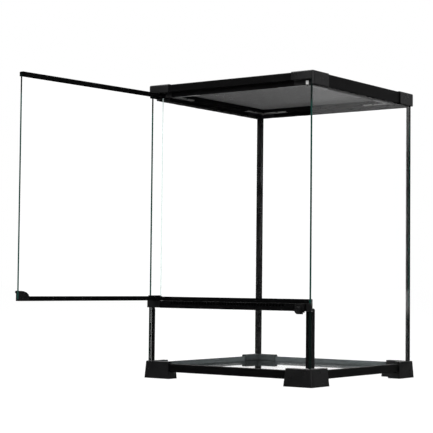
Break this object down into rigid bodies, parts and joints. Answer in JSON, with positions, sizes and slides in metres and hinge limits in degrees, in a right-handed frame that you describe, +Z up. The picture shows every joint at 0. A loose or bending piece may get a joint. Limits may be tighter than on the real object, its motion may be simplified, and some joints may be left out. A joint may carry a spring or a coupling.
{
  "type": "glass terrarium",
  "caption": "Tall square glass terrarium in a black plastic frame, with a side-hinged front door, a vent bar under it, a door latch and a lift-off mesh lid.",
  "frame": {"origin": "middle of the flat underside of the front left foot, which stands on the ground", "axes": "+X to the right along the front, +Y to the back, +Z up"},
  "size_m": [0.3145, 0.5739, 0.45],
  "materials": {
    "black_moulding": "fine satin moulding",
    "clear_glass": "clear float glass, green at the edges",
    "stainless_steel": "plain stainless steel"
  },
  "bodies": {
    "tank": {"left_glass": "clear_glass", "right_glass": "clear_glass", "back_glass": "clear_glass", "lower_front_glass": "clear_glass", "floor_glass": "clear_glass", "base_corner_front_left": "black_moulding", "base_corner_front_right": "black_moulding", "base_corner_back_right": "black_moulding", "base_corner_back_left": "black_moulding", "base_rail_front": "black_moulding", "base_rail_right": "black_moulding", "base_rail_back": "black_moulding", "base_rail_left": "black_moulding", "top_corner_front_left": "black_moulding", "top_corner_front_right": "black_moulding", "top_corner_back_right": "black_moulding", "top_corner_back_left": "black_moulding", "top_rail_front": "black_moulding", "top_rail_right": "black_moulding", "top_rail_back": "black_moulding", "top_rail_left": "black_moulding", "corner_strip_back_left": "black_moulding", "corner_strip_back_right": "black_moulding", "corner_strip_front_left": "black_moulding", "corner_strip_front_right": "black_moulding", "vent_bar": "black_moulding", "hinge_block": "black_moulding", "vent_bar_end": "black_moulding", "latch_guide": "black_moulding", "door_catch_plate": "stainless_steel"},
    "door": {"door_glass": "clear_glass", "door_bottom_rail": "black_moulding", "door_top_rail": "black_moulding", "door_handle": "black_moulding", "door_pin_bottom": "stainless_steel", "door_pin_top": "stainless_steel", "door_magnet": "stainless_steel"},
    "latch": {"latch_slider": "black_moulding", "latch_knob": "black_moulding"},
    "lid": {"screen_frame": "black_moulding", "screen_mesh": "stainless_steel", "screen_retainer": "black_moulding", "screen_clip_front_left": "stainless_steel", "screen_clip_front_right": "stainless_steel", "screen_clip_back_right": "stainless_steel", "screen_clip_back_left": "stainless_steel", "clip_screw_front_left": "stainless_steel", "clip_screw_front_right": "stainless_steel", "clip_screw_back_right": "stainless_steel", "clip_screw_back_left": "stainless_steel"}
  },
  "joints": [
    {"name": "door_hinge", "type": "hinge", "parent": "tank", "child": "door", "pos_m": [0.007, -0.0055, 0.278], "axis": [0, 0, -1], "range_deg": [-94.9, 49.5]},
    {"name": "latch_slide", "type": "slide", "parent": "tank", "child": "latch", "axis": [0, 0, 1], "range_m": [0, 0.005]},
    {"name": "lid_lift", "type": "slide", "parent": "tank", "child": "lid", "axis": [0, 0, 1], "range_m": [0, 0.05]}
  ]
}
